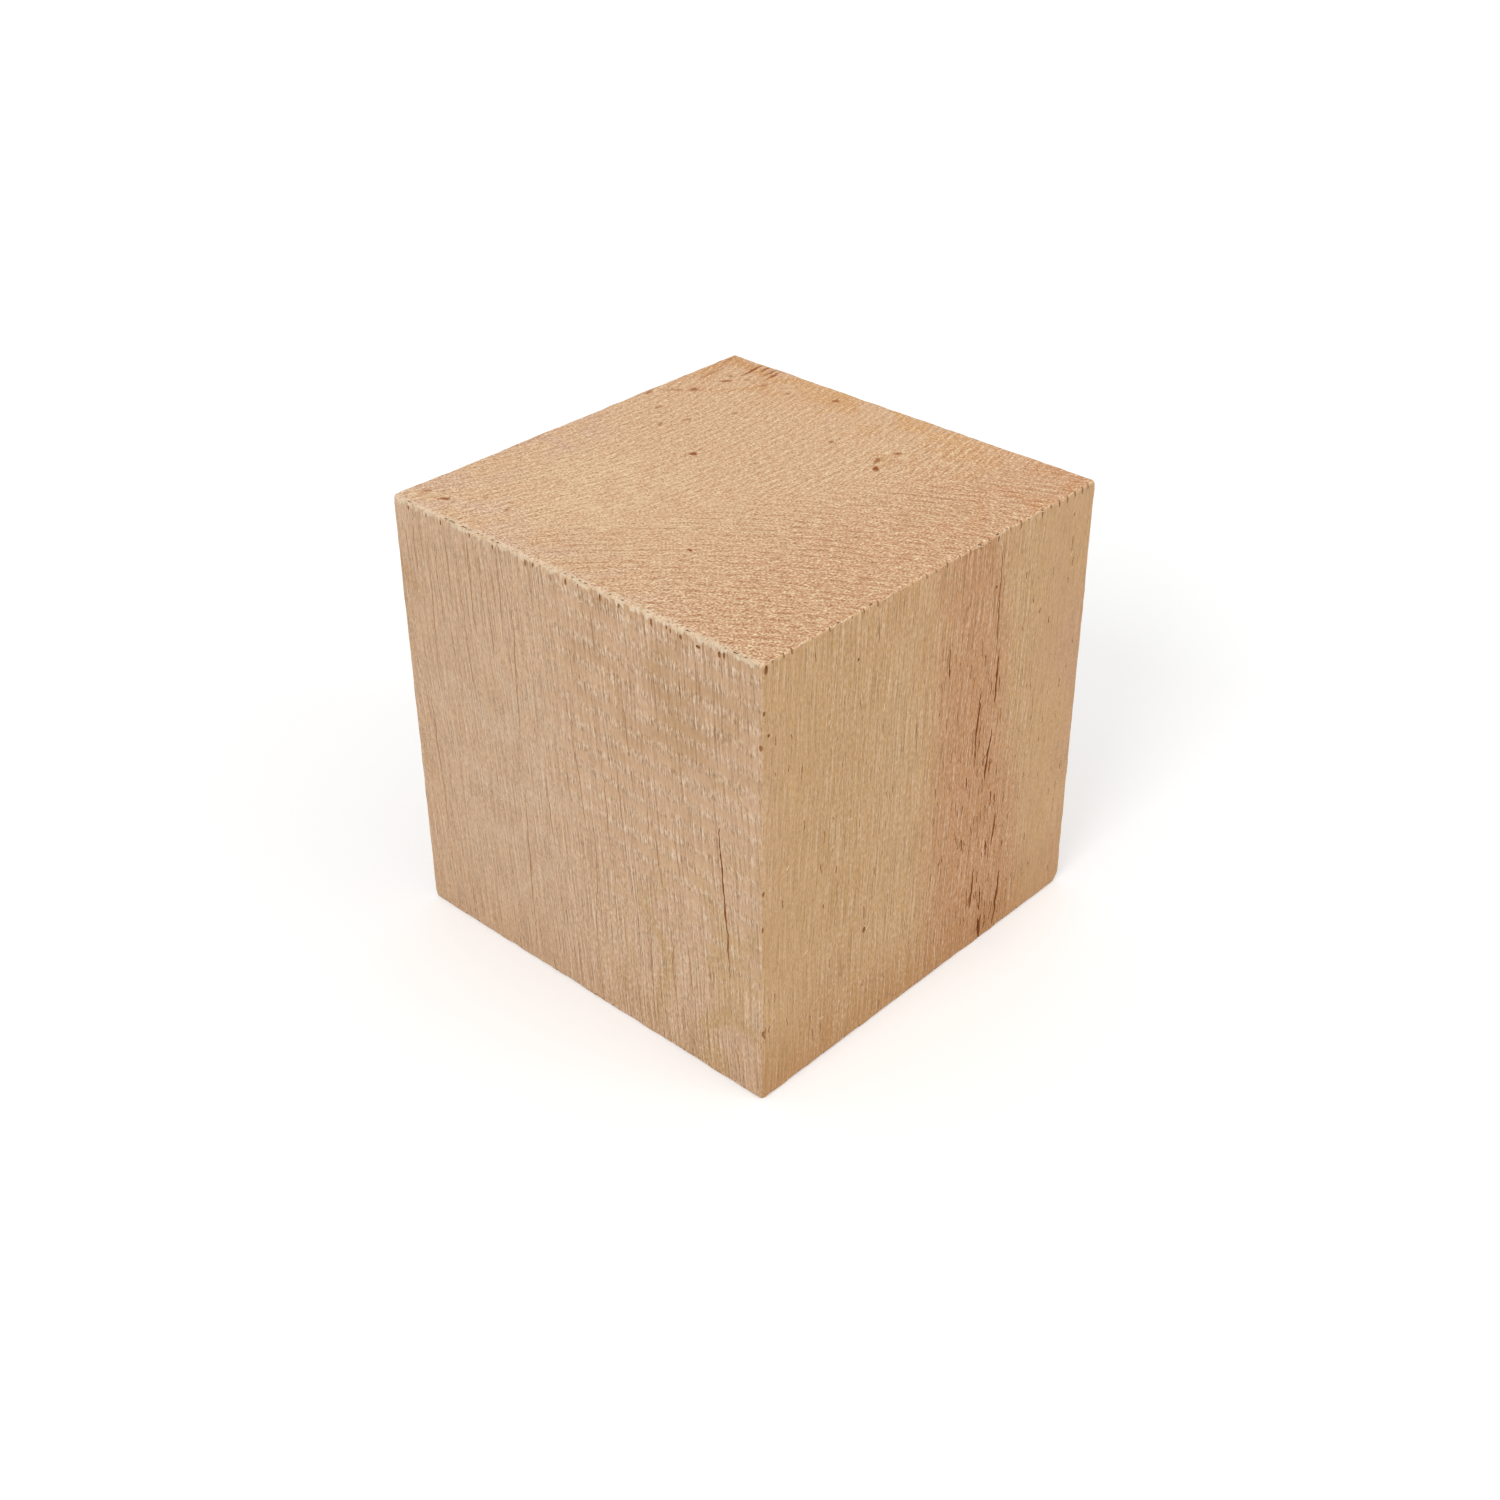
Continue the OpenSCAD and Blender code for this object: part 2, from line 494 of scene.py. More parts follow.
def wandering(f, place, reach, size, detail=0.0):
    """A place shifted by up to about half of reach, so that marks on it get uneven outlines."""
    shift = f.noise(f.vector("SCALE", place, Scale=1 / size), detail, output="Color")
    shift = f.vector("SUBTRACT", shift, (0.5, 0.5, 0.5))
    return f.vector("ADD", place, f.vector("SCALE", shift, Scale=reach))


def tinted(f, colour, place, patches):
    """The colour with soft patches of tone: across, up, half width, half height, strength, tone."""
    for across, up, half_w, half_h, strength, tone in patches:
        mask = f.spot(place, (across, up), (half_w, half_h), core=0.0)
        colour = f.mix(mask * strength, colour, tone)
    return colour


# Tones of the wood's darkest and palest fibres, and how fast a shade reaches them
DEEP_TONE = srgb(140, 94, 42)
PALE_TONE = srgb(246, 221, 194)
DEEPENING = 1.5
PALING = 1.8


def toned(f, colour, shade, deep=DEEP_TONE, pale=PALE_TONE):
    """The colour drawn towards a deep tone where the shade is below 1, and towards a pale one above."""
    colour = f.mix((1 - shade) * DEEPENING, colour, deep)
    return f.mix((shade - 1) * PALING, colour, pale)


# Distance between ridges of the side grain, and how far a groove's raised lip, painted pale as a
# highlight, lies beside it, in mm
RIDGE_PITCH = 1.3
HIGHLIT_LIP_SHIFT = 0.28


def side_grain(f, across, up, groove_width, groove_length, rarity):
    """The fine fibre pattern of wood cut along the grain, and its dark grooves, each with a raised lip
    that is also painted pale as a highlight.
    """
    drift = f.flat_noise(across * 0.14, up * 0.035) * 5.0
    ridges = (across * (math.tau / RIDGE_PITCH) + drift).sine()
    threads = fibres(f, across, up, 0.20, 9.0, seed=11.0)
    nubs = fibres(f, across, up, 0.22, 0.7, seed=37.0)
    groove = (groove_width, groove_length, 23.0)
    climb = (rarity, rarity + 0.08)
    grooves = fibres(f, across, up, *groove).rise(*climb)
    # Painted highlight: a pale lip beside each groove, which is also raised in the relief
    highlit_lips = fibres(f, across + HIGHLIT_LIP_SHIFT, up, *groove).rise(*climb)
    return ridges * 0.02 + threads * 0.70 + nubs * 0.62 + highlit_lips * 0.12, grooves


# Tone of the painted shade towards the foot, near the floor
SAWN_FOOT_SHADE_TONE = srgb(198, 156, 118)
SAWN_RIM_TONE = srgb(230, 209, 181)
# Distance between the rows of chatter that the saw left, in mm
CHATTER_PITCH = 2.87


def sawn_finish(wood):
    """The face that the saw left rough, with bands of chatter across the grain."""
    f = Finish(bpy.data.materials.new("sawn_face"))
    grain = grain_of(f)
    across = grain.y * -1
    fine, grooves = side_grain(f, grain.gy, grain.z, 0.36, 8.0, 0.10)
    place = wandering(f, f.join(across, grain.z), 6.0, 9.0)
    patches = [
        (16, 50, 26, 20, 0.9, srgb(192, 155, 118)),
        (-14, 32, 24, 24, 0.7, srgb(211, 180, 151)),
        (17, 12, 18, 24, 0.8, srgb(197, 162, 114)),
        (26, 24, 9, 24, 0.7, srgb(200, 165, 122)),
        (-10, 42, 4, 10, 0.4, srgb(196, 175, 144)),
        (-30, 52, 9, 16, 0.8, srgb(195, 157, 118)),
        (-31, 14, 12, 40, 0.6, srgb(200, 160, 122)),
        (-12, 20, 14, 26, 0.7, srgb(213, 181, 150)),
        (-22, 3, 9, 8, 0.6, srgb(198, 159, 123)),
        (24, 4, 14, 11, 0.8, srgb(188, 148, 96)),
    ]
    colour = tinted(f, (*wood.sawn_tone, 1), place, patches)
    # Painted shade: darker towards the foot, where the floor shades the face
    colour = f.mix(grain.z.rise(10.0, 0.0) * 0.4, colour, SAWN_FOOT_SHADE_TONE)

    # The chatter shows in the rough part, towards the front edge and the top
    drift = (f.flat_noise(across * 0.05, grain.z * 0.16) - 0.5) * 2.6
    rows = ((grain.z + across * 0.03) * (math.tau / CHATTER_PITCH) + drift - 0.1).sine()
    patchy = f.flat_noise(across * 0.14, grain.z * 0.4).rise(0.3, 0.65) * 0.5 + 0.5
    rough_part = across.rise(-12.0, 4.0) * (grain.z + across * 0.3).rise(6.0, 38.0) * patchy
    bristles = fibres(f, grain.gy, grain.z, 0.30, 1.3, seed=41.0) * rows.rise(-0.6, 0.8)
    fine = fine * (1 - rough_part * rows.rise(0.4, -0.8) * 0.7)
    fine = fine + bristles * (rough_part * 0.65 + 0.1)
    strength = across.rise(-12.0, 8.0) * 0.46 - across.rise(20.0, 29.0) * 0.2 + 0.72
    strength = strength + across.rise(-24.0, -18.0) * grain.z.rise(40.0, 56.0) * 0.16
    shade = 1 + (rows - 0.4) * rough_part * 0.07 + (fine - grooves * 0.09) * strength
    ragged = fibres(f, grain.gy, grain.z, 0.5, 1.0, seed=61.0, detail=0.0)
    rim = (grain.z + ragged * 1.5).rise(HEIGHT - 0.8, HEIGHT - 0.35)
    colour = f.mix(rim * 0.85, toned(f, colour, shade), SAWN_RIM_TONE)
    height = fine * 0.28 + rows * rough_part * 0.03 - grooves * 0.05
    return f.surface(colour, 0.72 + (shade - 1) * 0.4, height, 1.0)


# Tone of the painted shade towards the foot, near the floor
CHECKED_FOOT_SHADE_TONE = srgb(186, 136, 86)
CHECKED_RIM_TONE = srgb(218, 180, 140)
# Tone of the painted shade at the foot round the lowest checks
LOW_CHECKS_SHADE_TONE = srgb(174, 117, 73)


def checked_finish(wood):
    """The face with the heart streak and its drying checks."""
    f = Finish(bpy.data.materials.new("checked_face"))
    grain = grain_of(f)
    fine, grooves = side_grain(f, grain.gx, grain.z, 0.27, 4.5, 0.16)
    place = wandering(f, f.join(grain.x, grain.z), 3.0, 12.0)
    across, up, _ = f.split(place)
    patches = [
        (-18, 38, 11, 60, 0.7, srgb(198, 159, 112)),
        (-6.5, 32, 5, 40, 0.6, srgb(202, 165, 123)),
        (-16, 8, 9, 14, 0.6, srgb(192, 149, 103)),
        (27, 30, 12, 46, 0.9, srgb(201, 158, 123)),
        (15, 2, 7, 8, 0.8, srgb(182, 128, 80)),
        (-30, 42, 6, 20, 0.6, srgb(203, 164, 126)),
        (-8, 58, 16, 7, 0.6, srgb(201, 156, 110)),
    ]
    colour = tinted(f, (*wood.checked_tone, 1), place, patches)
    right_edge = 20.0 - up * 0.155
    streak = across.rise(-4.0, 5.0) * (right_edge - across).rise(-4.0, 3.5)
    colour = f.mix(streak, colour, wood.heart_tone)
    # Painted shade: a darker, redder patch at the foot round the lowest checks
    low_checks_shade = f.spot(place, (12.8, 1.0), (6.0, 7.0), core=0.0)
    colour = f.mix(low_checks_shade * 0.9, colour, LOW_CHECKS_SHADE_TONE)
    # Painted shade: darker towards the foot, where the floor shades the face, less so at the right end
    foot = grain.z.rise(13.0, 0.0) * (0.66 - across.rise(16.0, 24.0) * 0.3)
    colour = f.mix(foot, colour, CHECKED_FOOT_SHADE_TONE)
    ticks = fibres(f, grain.gx, grain.z, 0.22, 1.4, seed=71.0).rise(0.16, 0.24)
    marks = grooves * (streak * 0.08 + 0.14) + ticks * (streak * 0.20 + 0.10)
    strength = (across.rise(-25.0, -15.0) * 0.32 + 0.72) * (1 - across.rise(17.0, 23.0) * 0.62)
    shade = 1 + (fine * 0.92 - marks) * strength * (1 - grain.z.rise(8.0, 0.0) * 0.2)
    rim = grain.z.rise(HEIGHT - 0.45, HEIGHT - 0.2)
    colour = f.mix(rim * 0.7, toned(f, colour, shade), CHECKED_RIM_TONE)
    return f.surface(colour, 0.70 + (shade - 1) * 0.4, fine * 0.26 - grooves * 0.05, 0.9)


# Pith flecks and specks on the top: x, y, half length, half width, turn in degrees, strength
FLECKS = [
    (-26.5, 27.7, 0.65, 0.35, -30, 0.7),
    (-26.5, 24.4, 0.45, 0.70, 20, 0.9),
    (-23.5, 16.6, 0.60, 0.35, 10, 0.5),
    (2.6, 11.3, 0.55, 0.60, 40, 1.0),
    (-16.4, -6.5, 0.28, 0.36, -30, 1.2),
    (10.0, 24.7, 0.70, 0.35, -15, 0.6),
    (17.2, 25.4, 0.75, 0.50, -20, 0.8),
    (15.4, 27.2, 1.60, 0.25, -45, 0.5),
    (12.5, 29.2, 0.90, 0.35, 0, 0.7),
    (22.2, 24.2, 1.10, 0.32, -40, 0.8),
    (24.3, 22.4, 0.60, 0.30, -20, 0.6),
    (23.8, 25.0, 0.40, 0.40, 0, 0.6),
    (6.2, 20.8, 0.70, 0.35, 25, 0.6),
    (9.5, 19.2, 0.75, 0.35, -25, 0.5),
    (15.2, 16.0, 0.45, 0.35, 0, 0.6),
    (24.6, 19.5, 0.80, 0.45, 0, 0.5),
    (27.0, 8.9, 0.60, 0.50, 30, 0.8),
    (24.6, 15.2, 0.55, 0.35, 0, 0.5),
    (16.8, 1.0, 0.40, 0.35, 0, 0.7),
    (14.5, -8.2, 1.00, 0.32, 48, 1.0),
    (16.5, -6.8, 0.85, 0.30, 22, 0.8),
    (19.7, -7.5, 0.55, 0.40, 10, 0.8),
    (27.2, 24.1, 3.00, 0.20, 3, 1.0),
    (28.8, 23.0, 1.30, 0.18, 4, 0.9),
    (28.3, 21.7, 1.80, 0.20, 3, 0.9),
    (28.0, 20.7, 2.00, 0.20, 5, 0.9),
    (23.0, 27.5, 3.00, 0.18, 2, 0.5),
    (28.0, 29.0, 1.60, 0.15, 2, 0.5),
    (-7.0, 29.4, 0.60, 0.35, 10, 0.4),
    (-23.0, 21.0, 0.45, 0.35, 0, 0.35),
]


# The saw's arcs swing about a point beyond the rear face, and the rings about one beyond the front edge.
# The pitches are the distances between arcs and between rings, in mm.
SAW_CENTRE = (7.5, 102.0)
RING_CENTRE = (-99.0, -76.0)
SAW_ARC_PITCH = 1.12
RING_PITCH = 1.38
# The radius, in mm, at which distances round a centre are measured
ARC_REACH = 100.0

END_FRONT_TONE = srgb(207, 156, 119)
END_RIM_TONE = srgb(232, 207, 177)
END_DEEP_TONE = srgb(164, 108, 58)
END_PALE_TONE = srgb(248, 224, 184)
FLECK_TONE = srgb(150, 82, 30)


def polar(x, y, centre_x, centre_y):
    """How far a point lies from a centre, and how far round it."""
    over_x, over_y = x - centre_x, y - centre_y
    squares = over_x * over_x + over_y * over_y
    return squares.math("SQRT", squares), over_y.math("ARCTAN2", over_y, over_x) * ARC_REACH


def end_grain_finish(wood):
    """Both ends of the block: saw arcs, cut fibre ends and pith flecks."""
    f = Finish(bpy.data.materials.new("end_grain"))
    grain = grain_of(f)
    flat = f.join(grain.x, grain.y)
    place = wandering(f, flat, 7.0, 8.0, 1.0)
    patches = [
        (-12, 10, 20, 24, 0.8, srgb(227, 193, 153)),
        (-26, 22, 9, 14, 0.6, srgb(218, 183, 158)),
        (-32, 4, 14, 44, 0.7, srgb(213, 178, 154)),
        (-6, -20, 22, 12, 0.7, srgb(216, 171, 135)),
        (-10, 30, 30, 10, 0.8, srgb(208, 168, 144)),
        (-14, -16, 6, 6, 0.5, srgb(214, 167, 137)),
        (32, 0, 18, 44, 1.0, srgb(214, 162, 109)),
        (26, 26, 16, 14, 1.0, srgb(206, 150, 98)),
        (27, 8, 4, 5, 0.7, srgb(213, 163, 111)),
        (17, -8, 5, 4, 0.6, srgb(212, 163, 115)),
        (21, -15, 12, 8, 0.7, srgb(214, 164, 111)),
        (20, -29, 24, 11, 1.0, srgb(208, 149, 99)),
        (7, -13, 4, 4, 0.6, srgb(220, 184, 153)),
        (31, -31, 14, 14, 0.9, srgb(200, 140, 92)),
        (31, 31, 12, 12, 0.7, srgb(202, 148, 104)),
    ]
    colour = tinted(f, (*wood.end_tone, 1), place, patches)
    colour = f.mix(grain.y.rise(-6.0, -24.0) * 0.45, colour, END_FRONT_TONE)

    # Saw arcs over most of the face, and growth rings towards the front edge
    wavy_x, wavy_y, _ = f.split(wandering(f, flat, 0.7, 3.5))
    saw_r, saw_t = polar(wavy_x, wavy_y, *SAW_CENTRE)
    ring_r, ring_t = polar(wavy_x, wavy_y, *RING_CENTRE)
    ring_part = (grain.y + grain.x * 0.62).rise(0.0, -10.0)
    broken = f.flat_noise(saw_r * 1.1, saw_t * 0.4).rise(0.30, 0.62)
    arcs = (saw_r * (math.tau / SAW_ARC_PITCH)).sine() * broken * (1 - ring_part * 0.8)
    split = f.flat_noise(ring_r * 1.1, ring_t * 0.4).rise(0.35, 0.6)
    rings = (ring_r * (math.tau / RING_PITCH)).sine().rise(0.2, 0.95) * split * ring_part
    saw_dashes = f.flat_noise(saw_r * 3.0, saw_t * 0.7) - 0.5
    ring_dashes = f.flat_noise(ring_r * 3.0, ring_t * 0.7) - 0.5
    dashes = saw_dashes + (ring_dashes - saw_dashes) * ring_part
    pores = f.flat_noise(grain.x * 3.3, grain.y * 3.3) - 0.5
    pale_strokes = dashes.rise(0.05, 0.17)
    dark_strokes = dashes.rise(-0.05, -0.17)
    texture = arcs * 0.15 - rings * 0.22 + pale_strokes * 0.18 - dark_strokes * 0.15 + pores * 1.45
    strength = grain.x.rise(-16.0, -28.0) * 0.12 - grain.x.rise(18.0, 28.0) * 0.2 + 0.94
    shade = 0.99 + texture * (grain.y.rise(4.0, -20.0) * 0.25 + strength)

    ragged = wandering(f, flat, 0.7, 0.6, 2.0)
    flecks = 0.0
    for x, y, half_l, half_w, turn, amount in FLECKS:
        fleck = f.spot(ragged, (x, y), (half_l * 1.25, half_w * 1.5), turn) * amount
        flecks = fleck.larger(flecks)
    flecks = flecks * grain.z.rise(HEIGHT / 2 - 1, HEIGHT / 2 + 1)
    rim = (grain.x * -1 + pores * 1.5).rise(HALF[0] - 0.9, HALF[0] - 0.35)
    colour = toned(f, colour, shade, END_DEEP_TONE, END_PALE_TONE)
    colour = f.mix(rim * 0.6, colour, END_RIM_TONE)
    colour = f.mix(flecks, colour, FLECK_TONE)
    height = arcs * 0.02 - rings * 0.04 + dashes * 0.12 + pores * 0.16
    return f.surface(colour, 0.78 + (shade - 1) * 0.6, height, 0.8)


def plain_side_finish(wood):
    """The two sides away from the front edge, with the same grain and no checks."""
    f = Finish(bpy.data.materials.new("plain_side"))
    grain = grain_of(f)
    around = grain.gx - grain.gy
    fine, grooves = side_grain(f, around, grain.z, 0.32, 6.0, 0.13)
    place = wandering(f, f.join(around, grain.z), 6.0, 9.0)
    patches = [
        (-42, 30, 14, 60, 0.6, srgb(199, 168, 137)),
        (-18, 40, 10, 50, 0.6, srgb(193, 155, 117)),
        (-8, 10, 16, 16, 0.6, srgb(190, 150, 114)),
        (20, 35, 12, 60, 0.6, srgb(199, 167, 135)),
        (46, 25, 12, 50, 0.6, srgb(193, 155, 117)),
    ]
    colour = tinted(f, (*wood.plain_tone, 1), place, patches)
    shade = 1 + fine * 0.85 - grooves * 0.13
    height = fine * 0.26 - grooves * 0.05
    return f.surface(toned(f, colour, shade), 0.70 + (shade - 1) * 0.4, height, 0.9)


def torn_finish(name, tone):
    """The walls of a cut: darker wood with short fibres."""
    f = Finish(bpy.data.materials.new(name))
    grain = grain_of(f)
    shade = 1 + fibres(f, grain.gx + grain.gy, grain.z, 0.3, 2.0, seed=53.0) * 0.3
    return f.surface(f.vector("SCALE", tone, Scale=shade), 0.85)


def fibre_finish(tone):
    """Loose fibres: pale, dry and a little uneven."""
    f = Finish(bpy.data.materials.new("loose_fibres"))
    grain = grain_of(f)
    shade = 0.88 + f.noise(f.join(grain.x * 2.0, grain.y * 2.0, grain.z * 2.0)) * 0.22
    return f.surface(f.vector("SCALE", tone, Scale=shade), 0.8)


def add_piece(name, points, faces, materials):
    """A new mesh object from points in millimetres."""
    mesh = bpy.data.meshes.new(name)
    mesh.from_pydata((np.asarray(points) * MM).tolist(), [], faces)
    mesh.validate()
    for material in materials:
        mesh.materials.append(material)
    piece = bpy.data.objects.new(name, mesh)
    bpy.context.scene.collection.objects.link(piece)
    return piece


class Shell:
    """Points and faces of several closed forms that are gathered into one mesh."""

    def __init__(self):
        self.points = []
        self.faces = []

    def add(self, points, faces):
        start = len(self.points)
        self.points.extend(points)
        self.faces.extend([start + corner for corner in face] for face in faces)

    def add_strip(self, rings, first_tip, last_tip):
        """A form with one ring of points at each station, drawn to a tip at both ends."""
        count, sides = len(rings), len(rings[0])
        points = [first_tip, *(point for ring in rings for point in ring), last_tip]
        last = len(points) - 1
        faces = []
        for side in range(sides):
            beside = (side + 1) % sides
            faces.append((0, 1 + beside, 1 + side))
            for station in range(count - 1):
                row, above = 1 + station * sides, 1 + (station + 1) * sides
                faces.append((row + side, row + beside, above + beside, above + side))
            top = 1 + (count - 1) * sides
            faces.append((top + side, top + beside, last))
        self.add(points, faces)

    def build(self, name, materials):
        piece = add_piece(name, self.points, self.faces, materials)
        form = bmesh.new()
        form.from_mesh(piece.data)
        bmesh.ops.recalc_face_normals(form, faces=form.faces)
        form.to_mesh(piece.data)
        form.free()
        return piece


# How far a cutter stands proud of the face that it cuts, in mm
LIP = 0.3


def add_slit(shell, face, across, up, mouth, depth):
    """A cutter with a V section along a path over a face. Its first and last points are its tips."""
    rings = []
    for a, u, m, d in list(zip(across, up, mouth, depth))[1:-1]:
        half = m / 2 * (d + LIP) / d
        rings.append(face.points([a - half, a + half, a], [u, u, u], [LIP, LIP, -d]))
    tips = face.points(across[[0, -1]], up[[0, -1]], [LIP, LIP])
    shell.add_strip(rings, tips[0], tips[1])


# A check's path in mm: the distance between its stations, and how far it drifts and jitters at each
CHECK_STEP = 0.6
CHECK_DRIFT = 0.06
CHECK_JITTER = 0.04
# A check's narrowest part as a share of its mouth, and its greatest depth as a share of its length
NARROWEST = 0.25
DEEPEST = 0.25


def add_check(shell, draw, row, ratio):
    """One check or torn line, which wanders and changes width along its length."""
    face, foot, low, high, mouth, lean = row
    steps = max(5, int((high - low) / CHECK_STEP))
    t = np.linspace(0, 1, steps + 1)
    up = low + (high - low) * t
    wander = np.cumsum(draw.normal(0, CHECK_DRIFT, steps + 1))
    wander -= np.linspace(wander[0], wander[-1], steps + 1)
    across = foot + (up - low) * math.tan(math.radians(lean)) + wander
    across = across + draw.normal(0, CHECK_JITTER, steps + 1)
    swell = np.sin(np.pi * t) ** 0.5 * draw.uniform(0.5, 1.2, steps + 1)
    width = mouth * np.maximum(swell, NARROWEST)
    depth = np.minimum(width * ratio, (high - low) * DEEPEST)
    add_slit(shell, face, across, up, width, depth)


# A split's mouth as a share of its check's
SPLIT_MOUTH = 0.45


def add_splits(shell, draw, row, ratio):
    """Hairline splits beside a check, each along a part of it."""
    face, foot, low, high, mouth, lean = row
    for side in (-1, 1):
        start = draw.uniform(max(low, 0.5), (low + high) / 2)
        end = start + draw.uniform(0.25, 0.5) * (high - low)
        place = foot + (start - low) * math.tan(math.radians(lean)) + side * draw.uniform(0.5, 1.1)
        add_check(shell, draw, (face, place, start, end, mouth * SPLIT_MOUTH, lean), ratio)


# Ticks stand in upright lanes, with at most one in each band of height. Sizes in mm, lean in degrees.
TICK_LANE = 0.7
TICK_SHIFT = 0.15
TICK_BAND = 4.0
TICK_MOUTHS = (0.09, 0.17)
TICK_LEAN = 1


def add_ticks(shell, draw, row, ratio):
    """Short ticks over one part of the checked face."""
    left, right, low, high, longest, share = row
    for lane in np.arange(left, right, TICK_LANE):
        place = lane + draw.uniform(-TICK_SHIFT, TICK_SHIFT)
        for band in np.arange(low + draw.uniform(0, TICK_BAND), high, TICK_BAND):
            if draw.uniform() < share:
                start = band + draw.uniform(0, TICK_BAND - longest)
                end = start + longest * draw.uniform(0.3, 1.0)
                mouth = draw.uniform(*TICK_MOUTHS)
                add_check(shell, draw, (CHECKED, place, start, end, mouth, TICK_LEAN), ratio)


def add_notch(shell, draw, face, place, drop, width):
    """A notch in a face's top edge, where the saw tore fibres out as it left the wood."""
    up = TOP + np.array([0.9, 0.4, -0.3 * drop, -0.7 * drop, -drop])
    across = place + np.cumsum(draw.normal(0, 0.03, len(up)))
    mouth = width * np.array([0.9, 0.9, 0.9, 0.6, 0.25])
    add_slit(shell, face, across, up, mouth, mouth * 0.9)


# Bare stretch at both ends of an edge with notches at random places, in mm
NOTCH_MARGIN = 1.2


def add_other_notches(shell, draw, face, length, pitch):
    """Notches along the top edge of a side that is out of view, placed at random."""
    place = -length / 2 + NOTCH_MARGIN
    while place < length / 2 - NOTCH_MARGIN:
        drop = 0.15 + 0.9 * draw.uniform() ** 2
        add_notch(shell, draw, face, place, drop, draw.uniform(0.15, 0.4))
        place += pitch * draw.uniform(0.35, 2.6)


def add_pit(shell, draw, row):
    """A small uneven hollow, where a knot of fibres broke out."""
    face, across, up, width, height = row
    form = bmesh.new()
    bmesh.ops.create_icosphere(form, subdivisions=2, radius=0.5)
    ball = np.array([corner.co for corner in form.verts])
    ball *= draw.uniform(0.85, 1.15, (len(ball), 1))
    aside, along, out = ball.T
    points = face.points(across + aside * width, up + along * height, out * width)
    shell.add(list(points), [[corner.index for corner in side.verts] for side in form.faces])
    form.free()


# Lines of the skin's grid, in mm from an edge, and the step between lines further in
EDGE_STEPS = np.array([0, 0.06, 0.13, 0.21, 0.30, 0.41, 0.56, 0.76, 1.05, 1.45])
CORE_STEP = 0.85


def stations(half):
    """Places along an edge: close together near both ends, where the edge is eased."""
    reach = half - EDGE_STEPS[-1]
    core = np.linspace(-reach, reach, int(2 * reach / CORE_STEP) + 1)
    return np.concatenate([-half + EDGE_STEPS[:-1], core, half - EDGE_STEPS[-2::-1]])


def box_skin(half):
    """A box's skin as a fine grid: points, faces, and which side each face is on."""
    axes = [stations(side) for side in half]
    shape = tuple(len(axis) for axis in axes)
    inside = np.zeros(shape, bool)
    inside[1:-1, 1:-1, 1:-1] = True
    number = np.cumsum(~inside.ravel()).reshape(shape) - 1
    points = np.stack(np.meshgrid(*axes, indexing="ij"), -1)[~inside]
    faces, sides = [], []
    for axis in range(3):
        for end in (0, -1):
            grid = np.take(number, end, axis)
            ring = [grid[:-1, :-1], grid[1:, :-1], grid[1:, 1:], grid[:-1, 1:]]
            if (end == 0) != (axis == 1):
                ring.reverse()
            quads = np.stack(ring, -1).reshape(-1, 4)
            faces.append(quads)
            sides.append(np.full(len(quads), axis * 2 - end))
    return points, np.concatenate(faces), np.concatenate(sides)


def uneven(points, size, seed):
    """Smooth noise about 0 at each point, with bumps of about that size in mm."""
    moved = points / size + seed
    return np.array([noise.noise(Vector(point)) for point in moved])


# Uneven wear along the edges: share of the radius, size of its bumps in mm, seed
WEAR = [(0.55, 2.2, 3.0), (0.35, 0.7, 9.0)]
# The least and the most of an edge's usual radius that the wear leaves
WEAR_LIMITS = (0.45, 1.9)
CORNER_WEAR = 0.12


def eased(points, half, wood):
    """The box's points with its edges rounded, its corners dubbed and the wear uneven along them."""
    wear = 1
    for share, size, seed in WEAR:
        wear = wear + share * uneven(points, size, seed)
    end_part = np.abs(points[:, 2]) > half[2] - 1.0
    radius = np.where(end_part, wood.end_edge, wood.upright_edge) * np.clip(wear, *WEAR_LIMITS)
    core = np.clip(points, -(half - radius[:, None]), half - radius[:, None])
    off = points - core
    reach = np.linalg.norm(off, axis=1)
    points = core + off * (radius / np.maximum(reach, 1e-9))[:, None]
    corner = np.linalg.norm(half)
    worn = half * (1, -1, -1)
    for centre, limit in (
        (np.zeros(3), corner - wood.corner_dub),
        (-worn, 2 * corner - wood.worn_corner_dub),
    ):
        arm = points - centre
        length = np.linalg.norm(arm, axis=1)
        over = np.maximum(length / (limit + CORNER_WEAR * uneven(points, 1.5, 17.0)), 1)
        points = centre + arm / over[:, None]
    return points


# The finish of each side, in the order low x, high x, low y, high y, low z, high z
MAKERS = (sawn_finish, checked_finish, end_grain_finish, plain_side_finish)
SIDE_FINISHES = np.array([0, 3, 1, 3, 2, 2])
BLOCK_SEED = 11
CREASE_ANGLE = math.radians(35)


def carve(block, cutter):
    """Cuts one mesh out of another for good. The walls take the cutter's finish."""
    cut = block.modifiers.new("carve", "BOOLEAN")
    cut.operation = "DIFFERENCE"
    cut.solver = "MANIFOLD"
    cut.material_mode = "TRANSFER"
    cut.object = cutter
    result = block.evaluated_get(bpy.context.evaluated_depsgraph_get())
    carved = bpy.data.meshes.new_from_object(result)
    block.modifiers.clear()
    block.data = carved
    bpy.data.objects.remove(cutter)


def smooth_by_angle(piece, limit):
    """Shades a piece smooth, apart from edges that turn by more than the limit."""
    form = bmesh.new()
    form.from_mesh(piece.data)
    loose = [corner for corner in form.verts if not corner.link_faces]
    bmesh.ops.delete(form, geom=loose, context="VERTS")
    for edge in form.edges:
        edge.smooth = edge.calc_face_angle(math.pi) < limit
    for side in form.faces:
        side.smooth = True
    form.to_mesh(piece.data)
    form.free()


def dress(piece):
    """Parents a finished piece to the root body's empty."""
    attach(piece, "root")


